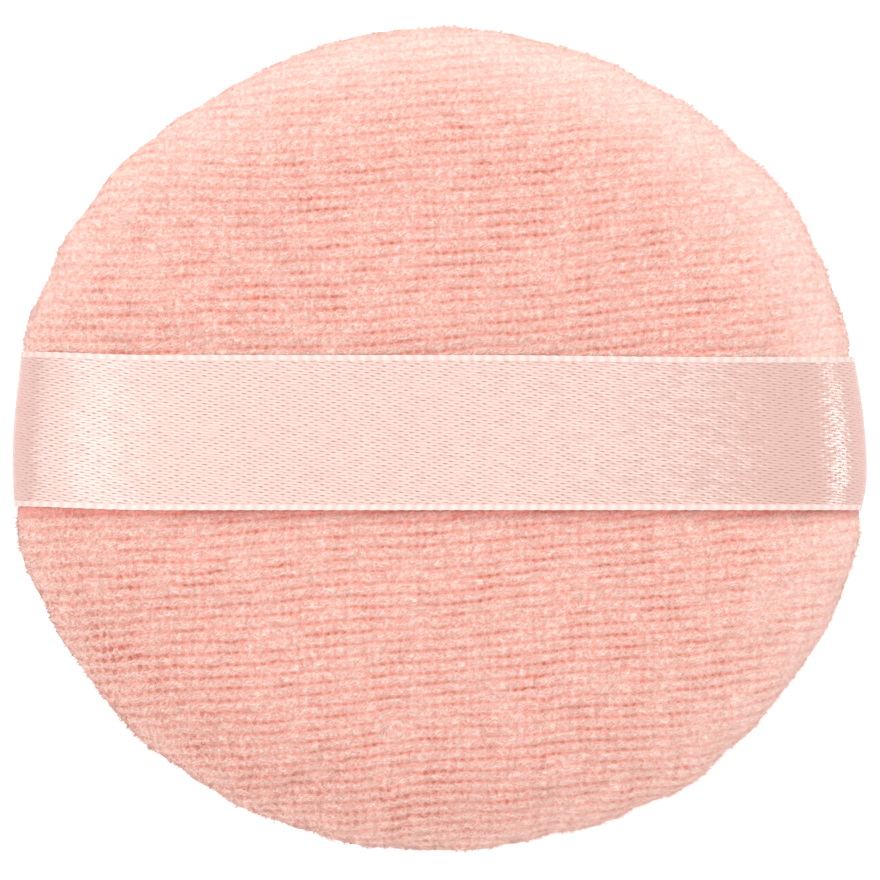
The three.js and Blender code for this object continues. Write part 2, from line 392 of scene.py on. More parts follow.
def near_seam(side, run, start, full):
    """How near a place lies to the seam, from 0 at the start of a reach to 1 at its full end."""
    return smooth_step(seam_run[side] - start, seam_run[side] - full, run)


def row_rise(x, y):
    """How far a knitted row has climbed at a place."""
    lean = row_lean[0] + row_lean[1] * y
    bow = row_bow[0] + row_bow[1] * y
    ripple = sum(tall * np.sin(on * x + up * y + start) for tall, on, up, start in row_ripples)
    return lean * x + bow * x * x / 2 + ripple


def row_slope(x, y):
    """How far a knitted row climbs in a millimetre at a place."""
    return row_rise(x + 0.5, y) - row_rise(x - 0.5, y)


def turned_towards(x, y, towards):
    """How far a place lies to one side of the panel, from 0 at the opposite side to 1."""
    return 0.5 + 0.5 * np.cos(np.arctan2(y, x) - towards)


def ruffled_up(side, x, y):
    """How far the nap is rubbed out of its rows at a place, near the rim on the other side."""
    return near_seam(side, np.hypot(x, y), *ruffle_reach) * turned_towards(x, y, ruffle_angle) ** 2


def painted_rim_light(side, x, y):
    """Painted light on the pile at a place: a painted highlight on the side towards the key lamp, and
    painted sheen all along its rim, less where the nap is ruffled on the shaded side.
    """
    run = np.hypot(x, y)
    lit_side = near_seam(side, run, *lit_side_reach) * turned_towards(x, y, lit_side_angle)
    rolled = near_seam(side, run, *rim_sheen_reach)
    return np.maximum(lit_side, rim_sheen_share * rolled * (1 - shaded_side_sheen_cut * ruffled_up(side, x, y)))


def painted_ribbon_shadow(side, y):
    """How deep the painted shadow under the ribbon's lower edge lies on the back's pile at a place."""
    off_edge = (y - ribbon_low.y) / ribbon_shadow_width
    return ribbon_shadow_depth * (side == back_side) * np.exp(-(off_edge ** 2))


def pressed_by_ribbon(side, x, y):
    """How far the ribbon presses the back panel's pile down at a place, by the rim that it turns over."""
    run = np.hypot(x, y)
    return (side == back_side) * under_ribbon(np.arctan2(y, x), run) * smooth_step(*press_run, run)


class Knit:
    """One panel's knitted rows: where each tuft stands on the flat round, and how uneven it is."""

    def __init__(self, seed):
        self.chance = np.random.default_rng(seed)
        size = (2 * most_rows + 2, 2 * most_tufts + 2)
        self.shift_x = self.chance.normal(0, tuft_scatter_along, size)
        self.shift_y = self.chance.normal(0, tuft_scatter_across, size)
        self.height = self.chance.normal(0, tuft_unevenness, size)
        loose = self.chance.normal(0, 1, size)
        loose = np.roll(loose, 1, axis=1) + own_looseness * loose + np.roll(loose, -1, axis=1)
        loose = loose / summed_looseness
        self.openness = np.clip(openness_middle + openness_spread * loose, *openness_limits)

    def uneven(self, table, tuft, row):
        """A table of one value for each tuft, read between tufts."""
        last_part = 0.999
        down = np.clip(row + most_rows, 0, 2 * most_rows + last_part)
        on = np.clip(tuft + most_tufts, 0, 2 * most_tufts + last_part)
        i = down.astype(int)
        j = on.astype(int)
        return read_between(table, i, j, j + 1, down - i, on - j)

    def place(self, tuft, row):
        """The place on the flat round of a tuft and row, which may be between two."""
        x = tuft * tuft_pitch + row_stagger * np.sin(row_stagger_turn * row)
        x = x + self.uneven(self.shift_x, tuft, row)
        y = row * (row_pitch + row_spread * row) + row_rise(x, row * row_pitch)
        return x, y + self.uneven(self.shift_y, tuft, row)

    def gap(self, tuft, row):
        """How open the pile is at a place: the valley between rows, and the one between tufts."""
        from_row = np.abs(row - np.rint(row)) * 2
        from_tuft = np.abs(tuft - np.rint(tuft)) * 2
        return smooth_step(0, 1, from_row), smooth_step(tuft_top, 1, from_tuft)

    def lift(self, tuft, row):
        """How far the pile stands off the drawn cover."""
        between_rows, between_tufts = self.gap(tuft, row)
        open_here = valley_closed + (1 - valley_closed) * self.uneven(self.openness, tuft, row)
        beside = valley_beside_tuft + (1 - valley_beside_tuft) * between_tufts
        valley = pile_valley * between_rows * beside * open_here
        return pile_height + self.uneven(self.height, tuft, row) - valley - tuft_valley * between_tufts


class Wire:
    """An output socket among a material's nodes. Sums with wires add Math nodes."""

    def __init__(self, tree, socket=None):
        self.tree = tree
        self.socket = socket

    def plug(self, node, sockets):
        for key, value in sockets.items():
            if isinstance(value, Wire):
                self.tree.links.new(value.socket, node.inputs[key])
            else:
                node.inputs[key].default_value = value

    def node(self, kind, settings, sockets, output=0):
        made = self.tree.nodes.new(kind)
        for key, value in settings.items():
            setattr(made, key, value)
        self.plug(made, sockets)
        return Wire(self.tree, made.outputs[output])

    def math(self, operation, *terms):
        return self.node("ShaderNodeMath", {"operation": operation}, dict(enumerate(terms)))

    def mixed(self, first, second, share):
        return self.node("ShaderNodeMix", {"data_type": "RGBA"}, {0: share, 6: first, 7: second}, 2)

    def __add__(self, other):
        return self.math("ADD", self, other)

    def __sub__(self, other):
        return self.math("SUBTRACT", self, other)

    def __rsub__(self, other):
        return self.math("SUBTRACT", other, self)

    def __mul__(self, other):
        return self.math("MULTIPLY", self, other)

    def __truediv__(self, other):
        return self.math("DIVIDE", self, other)

    __radd__ = __add__
    __rmul__ = __mul__


def new_finish(name, **constants):
    """A material, its first wire and its shader, with the values that are the same all over it."""
    material = bpy.data.materials.new(name)
    material.use_nodes = True
    wire = Wire(material.node_tree)
    shader = material.node_tree.nodes["Principled BSDF"]
    wire.plug(shader, {key.replace("_", " "): value for key, value in constants.items()})
    return material, wire, shader


def map_axes(wire, name):
    """The two coordinates of a piece's own map."""
    places = wire.node("ShaderNodeUVMap", {"uv_map": name}, {})
    return [wire.node("ShaderNodeSeparateXYZ", {}, {0: places}, axis) for axis in ("X", "Y")]


def cloth_noise(wire, along, across, detail=2):
    """Noise that lies in the cloth, from coordinates counted in its own grains."""
    place = wire.node("ShaderNodeCombineXYZ", {}, {0: along, 1: across})
    sockets = {"Vector": place, "Scale": 1, "Detail": detail}
    return wire.node("ShaderNodeTexNoise", {"noise_dimensions": "2D"}, sockets) - 0.5


def step_up(wire, value, low, high):
    """0 up to the low value, 1 from the high one on, and a smooth rise between them."""
    sockets = {"Value": value, "From Min": low, "From Max": high}
    return wire.node("ShaderNodeMapRange", {"interpolation_type": "SMOOTHSTEP"}, sockets)


def off_whole(wire, count):
    """0 at each whole count, as on a row or a tuft, and 1 midway to the next."""
    return 1 - wire.math("ABSOLUTE", wire.math("FRACT", count) - 0.5) * 2


def relief(wire, height, strength, depth):
    """The shading of a shallow relief, its depth in millimetres."""
    sockets = {"Strength": strength, "Distance": depth * mm, "Height": height}
    return wire.node("ShaderNodeBump", {}, sockets)


# Pile colours: the red of painted shade, the strands' deep and pale tones, the ground's deep and pale
# tones, and the ground's painted shade in its gaps and the darkest specks of it.
pile_shade_red = (0.90, 0.20, 0.17, 1)
pile_deep = (0.90, 0.37, 0.29, 1)
pile_pale = (0.97, 0.86, 0.79, 1)
velour_deep = (0.91, 0.41, 0.33, 1)
velour_pale = (0.97, 0.84, 0.77, 1)
velour_gap_shade = (0.74, 0.19, 0.12, 1)
velour_deepest_shade = (0.38, 0.10, 0.06, 1)
velour_sheen = {"Sheen Weight": 0.35, "Sheen Roughness": 0.5, "Sheen Tint": (1, 0.78, 0.70, 1)}
velour_roughness = 0.9
red_shade_start = 0.15
root_shade_share = 0.25

# The ground's pattern: grains of noise for each tuft and row, dashes of painted shade in the gaps between
# rows and tufts with darker specks of painted shade in them, and how far each of them stirs the tone and
# the relief. The painted rim light pales and calms it, and the painted shadow under the ribbon deepens it.
fibre_grain = (3.0, 8.0)
fibre_slant = 2.5
mottle_grain = (1.5, 2.0)
patch_grain = (0.25, 0.3)
speck_grain = (5.0, 7.0)
speck_size = (0.1, 0.2)
deepest_shade_share = 0.75
row_gap = (0.45, 1)
row_gap_fibre = 0.8
row_gap_mottle = 0.3
row_gap_ruffle = 2.2
tuft_gap = (0.2, 0.9)
tuft_gap_mottle = 2.2
dash_beside_tuft = 0.5
dash_closed = 0.12
dash_open = 0.85
dash_under_rim_light = 0.6
dash_most = 0.95
tone_fibre = 2.8
tone_mottle = 1.8
tone_patch = 0.2
tone_rim_light = 0.25
rim_light_calm = 0.5
ribbon_shadow_share = 0.7
relief_fibre = 1.2
velour_relief = {"strength": 0.7, "depth": 0.25}
pile_and_light_measures = ("openness", "brushed", "ruffled", "parted")


def strand_finish():
    """Loose pile: each strand of one tone, deepened by painted shade towards its root, and deep red where
    the painted shade is deepest.
    """
    material, wire, shader = new_finish("velour strands", Roughness=velour_roughness)
    tone, along = map_axes(wire, "strand")
    deep = wire.mixed(pile_shade_red, pile_deep, tone / red_shade_start)
    shade = (tone - red_shade_start) / (1 - red_shade_start) * (1 - root_shade_share) + along * root_shade_share
    wire.plug(shader, {"Base Color": wire.mixed(deep, pile_pale, shade)})
    return material


def velour_finish():
    """The knitted ground under the strands: mottled fibres, with dashes of painted shade in the gaps
    between rows and tufts.
    """
    material, wire, shader = new_finish("velour", Roughness=velour_roughness)
    wire.plug(shader, velour_sheen)
    tuft, row = map_axes(wire, "cloth")
    openness, brushed, ruffled, parted = [
        wire.node("ShaderNodeAttribute", {"attribute_name": measure}, {}, "Fac") for measure in pile_and_light_measures
    ]
    fibre = cloth_noise(wire, tuft * fibre_grain[0], row * fibre_grain[1] - tuft * fibre_slant)
    mottle = cloth_noise(wire, tuft * mottle_grain[0], row * mottle_grain[1])
    patch = cloth_noise(wire, tuft * patch_grain[0], row * patch_grain[1])
    row_stir = fibre * row_gap_fibre
    row_ruffle = mottle * (row_gap_mottle + row_gap_ruffle * ruffled)
    between_rows = step_up(wire, off_whole(wire, row) + row_stir + row_ruffle, *row_gap)
    between_tufts = step_up(wire, off_whole(wire, tuft) + mottle * tuft_gap_mottle, *tuft_gap)
    # The dashes are painted shade in the gaps between rows and tufts.
    dash = between_rows * (dash_beside_tuft + (1 - dash_beside_tuft) * between_tufts)
    dash = dash * (dash_closed + dash_open * openness)
    # The painted rim light thins the dashes of shade, and it pales and calms the tone.
    dash = dash * (1 - dash_under_rim_light * brushed)
    calm = 1 - rim_light_calm * brushed
    tone = (fibre * tone_fibre + mottle * tone_mottle + patch * tone_patch) * calm
    colour = wire.mixed(velour_deep, velour_pale, tone + 0.5 + tone_rim_light * brushed)
    # Painted shadow under the ribbon's lower edge.
    colour = wire.mixed(colour, pile_shade_red, parted * ribbon_shadow_share)
    colour = wire.mixed(colour, velour_gap_shade, wire.math("MINIMUM", dash, dash_most))
    # Specks of the darkest painted shade within the dashes.
    grit = cloth_noise(wire, tuft * speck_grain[0], row * speck_grain[1], detail=1)
    deepest_shade = step_up(wire, grit, *speck_size)
    colour = wire.mixed(colour, velour_deepest_shade, deepest_shade * dash * deepest_shade_share)
    height = (fibre * relief_fibre + mottle) * calm - dash
    wire.plug(shader, {"Base Color": colour, "Normal": relief(wire, height, **velour_relief)})
    return material


def add_map(piece, name, places):
    """Gives a mesh a map, with one place for each corner of its faces."""
    layer = piece.data.uv_layers.get(name) or piece.data.uv_layers.new(name=name)
    layer.uv.foreach_set("vector", np.ascontiguousarray(places, np.float32).ravel())


def add_measure(piece, name, values):
    """Gives a mesh one value for each of its points, for its finish to read."""
    measure = piece.data.attributes.new(name, "FLOAT", "POINT")
    measure.data.foreach_set("value", values.astype(np.float32))


def corner_points(piece):
    """The point at each corner of a mesh's faces."""
    corners = np.empty(len(piece.data.loops), np.int32)
    piece.data.loops.foreach_get("vertex_index", corners)
    return corners


def select_points(piece, chosen):
    """Leaves only these points of a mesh selected, with the mesh open for editing."""
    piece.data.polygons.foreach_set("select", np.zeros(len(piece.data.polygons), bool))
    piece.data.edges.foreach_set("select", np.zeros(len(piece.data.edges), bool))
    piece.data.vertices.foreach_set("select", chosen)
    bpy.ops.object.mode_set(mode="EDIT")
    bpy.ops.mesh.select_mode(type="VERT")


def flat_grid(name, columns, rows):
    """A flat square mesh from -1 to 1 each way, as the start of a piece of cloth."""
    bpy.ops.object.select_all(action="DESELECT")
    bpy.ops.mesh.primitive_grid_add(x_subdivisions=columns, y_subdivisions=rows, size=2)
    piece = bpy.context.object
    piece.name = name
    piece.data.name = name
    return piece


def knitted_round(name, side, knit):
    """A round of cloth, cut flat from a square of knitted rows, and the tuft and row of its points."""
    piece = flat_grid(name, 2 * most_tufts * cells_per_tuft, 2 * most_rows * cells_per_row)
    flat = points_of(piece)
    x, y = knit.place(flat[:, 0] * most_tufts, flat[:, 1] * most_rows)
    select_points(piece, np.hypot(x, y) > edge_run[side])
    bpy.ops.mesh.delete(type="VERT")
    bpy.ops.mesh.select_all(action="SELECT")
    bpy.ops.mesh.delete_loose()
    if side == face_side:
        bpy.ops.mesh.select_all(action="SELECT")
        bpy.ops.mesh.flip_normals()
    bpy.ops.object.mode_set(mode="OBJECT")
    flat = points_of(piece)
    return piece, flat[:, 0] * most_tufts, flat[:, 1] * most_rows


def panel_piece(name, side, knit):
    """One round of velour, laid over the cover and rolled in at the seam, with its pile in relief."""
    piece, tuft, row = knitted_round(name, side, knit)
    x, y = knit.place(tuft, row)
    run = np.hypot(x, y)
    point, _, _, out = cover_frame(side, x, y)
    in_seam = near_seam(side, run, *seam_reach)
    in_slot = under_ribbon(np.arctan2(y, x), np.full_like(run, seam_radius)) * in_seam
    move_points(piece, (point - out * (slot_depth * in_slot)[:, None]) * mm)
    corners = corner_points(piece)
    add_map(piece, "cloth", np.stack([tuft, row], axis=1)[corners])
    flat_place = np.stack([x, y], axis=1) / edge_run[side]
    add_map(piece, "OFBake", (flat_place * bake_map_half + 0.5)[corners])
    # The finish reads each tuft's openness, the painted rim light, how ruffled the nap is, and the painted
    # shadow under the ribbon's lower edge.
    openness = knit.uneven(knit.openness, tuft, row)
    parted = painted_ribbon_shadow(side, point[:, 1])
    nap = (openness, painted_rim_light(side, x, y), ruffled_up(side, x, y), parted)
    for measure, values in zip(pile_and_light_measures, nap):
        add_measure(piece, measure, values)
    wall = piece.modifiers.new("cloth thickness", "SOLIDIFY")
    wall.thickness = cloth_thickness * mm
    wall.offset = -1
    bpy.ops.object.modifier_apply(modifier=wall.name)
    walled = points_of(piece)
    near_rim = near_seam(side, run, *rim_reach)
    lift = pile_height + (knit.lift(tuft, row) - pile_height) * (1 - rim_smoothing * near_rim)
    lift = (lift + rim_pile * near_rim) * (1 - in_seam) - press_depth * pressed_by_ribbon(side, x, y)
    raised = walled[: len(run)] + out * lift[:, None] * mm
    raised[:, 2] = np.maximum(raised[:, 2], (face_low.z + resting_gap) * mm)
    walled[: len(run)] = raised
    move_points(piece, walled)
    lining = np.arange(len(walled)) >= len(run)
    lining[: len(run)] = run > seam_run[side] + lining_start
    select_points(piece, lining)
    bpy.ops.mesh.decimate(ratio=lining_share)
    bpy.ops.object.mode_set(mode="OBJECT")
    bpy.ops.object.shade_smooth()
    return piece


# The pile's strands: where they stand in a tuft, how they lean, and their tones. Round the rim the back's
# strands fray out to the outline, and the face's lie flat under them.
strands_per_tuft = 24
pile_bands = 3
strand_margin = 1.9
strand_widths = (0.03, 0.07)
strand_taper = 0.8
strand_twist = 0.3
strand_roundness = 0.45
tuft_half_length = 0.42
tuft_half_width = 0.44
tuft_spread = 0.15
lean_along_row = (0.2, 0.16)
lean_across_row = (0.1, 0.13)
strand_stand = 0.14
strand_pressed = 0.08
strand_unevenness = 0.04
strand_rim_reach = (9, 3)
strand_rim_sink = 0.04
rim_flattening = {back_side: 0.02, face_side: 0.14}
rim_fuzz = {back_side: 0.08, face_side: 0.0}
root_depth = 0.15
root_slope = 0.3
resting_floor = 0.1
resting_floor_spread = 0.05
tone_columns = 32
tone_column_share = 0.4
tone_map_margin = 0.02
most_tone = 0.999
# The strands' tones carry painted light: paler under the painted rim light, deeper and redder with painted
# shade in the gaps and by the seam, and red in the painted shadow under the ribbon's edge.
rim_light_paleness = 0.3
strand_row_edge = (0.12, 0.44)
strand_tuft_edge = (0.1, 0.4)
strand_beside_tuft = 0.5
gap_deepening = 1.05
most_deepening = 0.95
gap_reddening = 0.4
rim_shade_reach = (5, 3.5)
rim_shade = 0.4
ribbon_shadow_closed = 0.5
ribbon_shadow_open = 0.8
strand_faces = np.array([[0, 1, 2], [0, 3, 1], [0, 2, 3], [1, 3, 2]])
strand_side = np.array([-1, 1, -1, 1])
strand_height = np.array([0, 0, 1, 1])


def strand_tones(side, knit, tuft, row, spot_along, spot_across):
    """How pale each strand is: paler under the painted rim light, deeper and redder with painted shade in a
    gap and by the seam, red in the painted shadow under the ribbon's edge.
    """
    x, y = knit.place(tuft, row)
    brushed = painted_rim_light(side, x, y)[:, None]
    tone = knit.chance.uniform(0, 1, spot_along.shape) * (1 - rim_light_paleness * brushed)
    tone = np.minimum(tone + rim_light_paleness * brushed, most_tone)
    in_tuft = tuft[:, None] + spot_along / tuft_pitch
    in_row = row[:, None] + side * spot_across / row_pitch
    open_here = knit.uneven(knit.openness, in_tuft, in_row)
    by_tuft_edge = smooth_step(*strand_tuft_edge, np.abs(spot_along))
    by_gap = smooth_step(*strand_row_edge, np.abs(spot_across)) * (1 - brushed)
    by_gap = by_gap * open_here * (strand_beside_tuft + (1 - strand_beside_tuft) * by_tuft_edge)
    tone = tone * (1 - np.minimum(gap_deepening * by_gap, most_deepening))
    by_rim = near_seam(side, np.hypot(x, y), *rim_shade_reach)
    tone = tone * (1 - rim_shade * by_rim)[:, None]
    parted = painted_ribbon_shadow(side, cover_point(side, x, y)[:, 1])[:, None]
    parted = parted * (ribbon_shadow_closed + ribbon_shadow_open * open_here)
    tone = red_shade_start + (1 - red_shade_start) * tone
    return tone * (1 - np.minimum(parted + gap_reddening * by_gap, 1))


def strand_shapes(side, knit):
    """The pile's loose strands as slim four-faced slivers: corners, tones and shading directions."""
    rows = np.arange(-most_rows, most_rows + 1)
    tufts = np.arange(-most_tufts, most_tufts + 1)
    row, tuft = (part.ravel().astype(float) for part in np.meshgrid(rows, tufts, indexing="ij"))
    x, y = knit.place(tuft, row)
    kept = np.hypot(x, y) < seam_run[side] - strand_margin
    x, y, tuft, row = x[kept], y[kept], tuft[kept], row[kept]
    run = np.hypot(x, y)
    centre, along, across, out = cover_frame(side, x, y, row_slope(x, y))
    chance = knit.chance
    count = (len(x), strands_per_tuft)
    pressed = pressed_by_ribbon(side, x, y)
    near_rim = near_seam(side, run, *strand_rim_reach)
    in_seam = near_seam(side, run, *seam_reach)
    body = knit.lift(tuft, row) + (rim_pile - strand_rim_sink) * near_rim
    body = body * (1 - in_seam) - press_depth * pressed
    spot_along = chance.uniform(-tuft_half_length, tuft_half_length, count)
    spread = tuft_half_width + tuft_spread * np.maximum(near_rim, ruffled_up(side, x, y))
    spot_across = chance.uniform(-1, 1, count) * spread[:, None]
    lean_along = chance.normal(*lean_along_row, count)
    lean_across = chance.normal(*lean_across_row, count)
    stand = strand_stand - strand_pressed * pressed - rim_flattening[side] * near_rim
    fray = strand_unevenness + rim_fuzz[side] * near_rim * (1 - pressed)
    tip_lift = body[:, None] + stand[:, None] + chance.normal(0, 1, count) * fray[:, None]
    root_lift = body[:, None] - root_depth - root_slope * np.abs(spot_across)
    tone = strand_tones(side, knit, tuft, row, spot_along, spot_across).ravel()

    def strand_ends(on, up, lift):
        """Places off the middle of each tuft: along its row, across it and outwards."""
        off = on[..., None] * along[:, None] + up[..., None] * across[:, None]
        off = off + lift[..., None] * out[:, None]
        place = (centre[:, None] + off).reshape(-1, 3)
        floor = face_low.z + resting_floor + resting_floor_spread * tone
        place[:, 2] = np.maximum(place[:, 2], floor)
        return place

    root = strand_ends(spot_along, spot_across, root_lift)
    tip = strand_ends(spot_along + lean_along, spot_across + lean_across, tip_lift)
    outwards = np.repeat(out, strands_per_tuft, axis=0)
    grain = unit(tip - root)
    row_way = np.repeat(along, strands_per_tuft, axis=0)
    sideways = unit(np.cross(grain, row_way + strand_twist * outwards))
    upwards = np.cross(sideways, grain)
    half_width = chance.uniform(*strand_widths, len(root))[:, None] / 2
    root_edge = (sideways + upwards) * half_width
    tip_edge = (sideways - upwards) * half_width * strand_taper
    points = np.stack([root + root_edge, root - root_edge, tip + tip_edge, tip - tip_edge], axis=1)
    return points, tone, outwards


def pile_piece(name, points, tone, outwards):
    """One band of the pile: all its strands as one mesh, with a column of the map for each tone."""
    count = len(points)
    first, second, third = (points[:, corner] - points[:, 0] for corner in (1, 2, 3))
    volume = np.einsum("ij,ij->i", first, np.cross(second, third))
    faces = strand_faces if volume.mean() < 0 else strand_faces[:, ::-1]
    corners = (np.arange(count)[:, None, None] * 4 + faces).reshape(-1)
    mesh = bpy.data.meshes.new(name)
    mesh.vertices.add(count * 4)
    mesh.vertices.foreach_set("co", np.ascontiguousarray(points * mm, np.float32).ravel())
    mesh.loops.add(len(corners))
    mesh.loops.foreach_set("vertex_index", corners.astype(np.int32))
    mesh.polygons.add(count * 4)
    mesh.polygons.foreach_set("loop_start", np.arange(0, len(corners), 3, dtype=np.int32))
    mesh.update(calc_edges=True)
    piece = bpy.data.objects.new(name, mesh)
    bpy.context.scene.collection.objects.link(piece)
    column = np.floor(tone * tone_columns)
    height = np.tile(strand_height, count)
    middle = np.repeat((column + 0.5) / tone_columns, 4)
    aside = middle + np.tile(strand_side, count) * tone_column_share / tone_columns
    inset_height = tone_map_margin + (1 - 2 * tone_map_margin) * height
    add_map(piece, "strand", np.stack([middle, height], axis=1)[corners])
    add_map(piece, "OFBake", np.stack([aside, inset_height], axis=1)[corners])
    mesh.polygons.foreach_set("use_smooth", np.ones(count * 4, bool))
    own = points - points.mean(axis=1, keepdims=True)
    grain = unit(points[:, 2:].mean(axis=1) - points[:, :2].mean(axis=1))
    own = unit(own - np.einsum("ijk,ik->ij", own, grain)[..., None] * grain[:, None])
    shading = unit(strand_roundness * own + (1 - strand_roundness) * outwards[:, None])
    mesh.normals_split_custom_set_from_vertices(shading.reshape(-1, 3).tolist())
    return piece


velour = velour_finish()
velour_strands = strand_finish()
for panel, side, seed in (("back", back_side, back_seed), ("face", face_side, face_seed)):
    knit = Knit(seed)
    round_piece = panel_piece(f"{panel}_panel_velour", side, knit)
    round_piece.data.materials.append(velour)
    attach(round_piece, "pad")
    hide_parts(f"{panel}_panel")
    points, tone, outwards = strand_shapes(side, knit)
    order = np.argsort(points[:, :, 1].mean(axis=1), kind="stable")
    for band, mine in enumerate(np.array_split(order, pile_bands), start=1):
        strands = pile_piece(f"{panel}_panel_strands_{band}", points[mine], tone[mine], outwards[mine])
        strands.data.materials.append(velour_strands)
        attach(strands, "pad")


# Ribbon: one length of woven polyester satin across the back, with firm selvedges. It lies loose over
# the crown, so that fingers go under it, and its ends turn in at the rim and are sewn into the seam.
# Over the crown it hangs lower than its plain solid does, near the tips of the pile.
ribbon_thickness = 0.25
ribbon_crown_gap = 0.55
ribbon_rim_gap = 0.3
ribbon_join_gap = 0.3
tail_level = 0.3
ribbon_crown_points = 500
ribbon_roll_points = 60
ribbon_columns = 260
ribbon_rows = 44
ribbon_row_crowding = 1.35
selvedge_width = 0.6
selvedge_firm_width = 0.3
selvedge_rise = 0.05
selvedge_rise_end = 12
selvedge_rise_fade = 3
picot_pitch = 1.1
picot_depth = 0.02
left_end_lift = 0.35
left_end_reach = (28, 41)
right_end_slack = 0.18
right_end_reach = (3, 25)
ribbon_edge_angle = math.radians(50)


def ribbon_line(y):
    """The underside of the ribbon along one of its threads: run, distance from the middle, height."""
    radius = rim_radius + ribbon_rim_gap
    rise = back_high.z - seam_level + ribbon_crown_gap
    widest = math.sqrt(radius ** 2 - (y / narrowing) ** 2)
    band_x = crown_line(widest, rise, ribbon_crown_points)[0]
    out = np.minimum(1, np.hypot(band_x, y / narrowing) / radius)
    band_z = rim_rise + (rise - rim_rise) * np.sqrt(1 - out ** crown_power)
    roll_top = rim_rise - ribbon_join_gap
    roll_radius, roll_z = roll_line(radius - seam_radius, roll_top, tail_level, ribbon_roll_points)
    roll_x = np.sqrt(roll_radius ** 2 - (y / narrowing) ** 2)
    x = np.concatenate([band_x, roll_x, [allowance_radius]])
    z = np.concatenate([band_z, roll_z, [tail_level]])
    return run_along(x, z), x, z


ribbon_length = ribbon_line(ribbon_middle)[0][-1]


def ribbon_half(name, hand):
    """Half of the ribbon, from the middle of the puff to its sewn end, on the left or the right."""
    piece = flat_grid(name, ribbon_columns, ribbon_rows)
    flat = points_of(piece)
    share = (flat[:, 0] + 1) / 2
    across = np.sin(flat[:, 1] * ribbon_row_crowding) / math.sin(ribbon_row_crowding) * ribbon_width / 2
    points = np.empty_like(flat)
    woven = np.empty((len(flat), 2))
    same_row = 1e-5
    for row in np.unique(np.round(across, 6)):
        mine = np.abs(across - row) < same_row
        run, x, z = ribbon_line(ribbon_middle + row)
        at = share[mine] * run[-1]
        out = np.interp(at, run, x)
        aside = (ribbon_middle + row) / narrowing
        out += carried_out(np.arctan2(aside, hand * out), np.hypot(aside, out), at, run[-2], run[-1])
        points[mine, 0] = hand * out
        points[mine, 2] = seam_level + np.interp(at, run, z)
        woven[mine, 0] = hand * at
    woven[:, 1] = across
    edge = ribbon_width / 2 - np.abs(across)
    picot = picot_depth * np.cos(woven[:, 0] / picot_pitch * math.tau)
    firm = 1 - smooth_step(selvedge_firm_width, selvedge_width, edge)
    points[:, 1] = ribbon_middle + across + np.sign(across) * picot * firm
    if hand < 0:
        points[:, 1] += left_end_lift * smooth_step(*left_end_reach, -points[:, 0])
    else:
        upper = np.clip(across / (ribbon_width / 2), 0, 1)
        points[:, 1] -= right_end_slack * smooth_step(*right_end_reach, points[:, 0]) * upper
    before_end = ribbon_length - selvedge_rise_end - np.abs(woven[:, 0])
    points[:, 2] += selvedge_rise * firm * smooth_step(0, selvedge_rise_fade, before_end)
    move_points(piece, points * mm)
    corners = corner_points(piece)
    add_map(piece, "weave", woven[corners])
    add_map(piece, "OFBake", (flat[:, :2] * bake_map_half + 0.5)[corners])
    if hand < 0:
        bpy.ops.object.mode_set(mode="EDIT")
        bpy.ops.mesh.select_all(action="SELECT")
        bpy.ops.mesh.flip_normals()
        bpy.ops.object.mode_set(mode="OBJECT")
    bpy.ops.object.shade_smooth()
    wall = piece.modifiers.new("satin thickness", "SOLIDIFY")
    wall.thickness = ribbon_thickness * mm
    wall.offset = 1
    bpy.ops.object.modifier_apply(modifier=wall.name)
    bpy.ops.object.shade_smooth_by_angle(angle=ribbon_edge_angle)
    return piece


# Satin colours: a yarn's valley in painted shade and its crest painted lit, painted shade in the dips and
# on the turned ends, and the selvedge's beads and the gaps between them.
satin_valley_shade = (0.61, 0.375, 0.322, 1)
satin_crest_lit = (0.71, 0.495, 0.437, 1)
satin_dip_shade = (0.43, 0.235, 0.19, 1)
satin_end_shade = (0.62, 0.345, 0.29, 1)
selvedge_pale = (0.87, 0.73, 0.68, 1)
selvedge_gap = (0.73, 0.54, 0.49, 1)
satin_gloss = 1.0
satin_index = 1.6
satin_roughness = 0.24
selvedge_roughness = 0.5

# The weave: fine warp yarns that float over the face, dip under a weft at both ends, and lie unevenly.
# Their crests are painted lit, and their valleys and dips painted in shade. The selvedge is beaded, with a
# line of stitches inside it whose holes are painted in shade. The turned ends have fewer painted dips and
# are painted a deeper pink, as painted shade for the gloss that they miss.
warp_pitch = 0.268
warp_skew = 0.1
float_length = 1.083
float_bulge = 1.5
float_tilt = 8.0
slub_grain = (1.6, 6.0)
slub_shift = 0.06
dip_reach = (0.17, 0.46)
dip_width = (0.05, 0.36)
dip_share = 0.8
dip_slub = 3.5
turned_run = (40.0, 43.5)
turned_smoothing = 0.85
turned_tone = 0.7
selvedge_step = 0.1
stitch_start = 0.7
stitch_width = (0.05, 0.12)
stitch_tone = 0.4
bead_tone = 0.8
crest_height = 0.6
dip_depth = 1.5
slub_height = 1.5
stitch_depth = 0.7
bead_height = 2.0
satin_relief = {"strength": 0.2, "depth": 0.05}


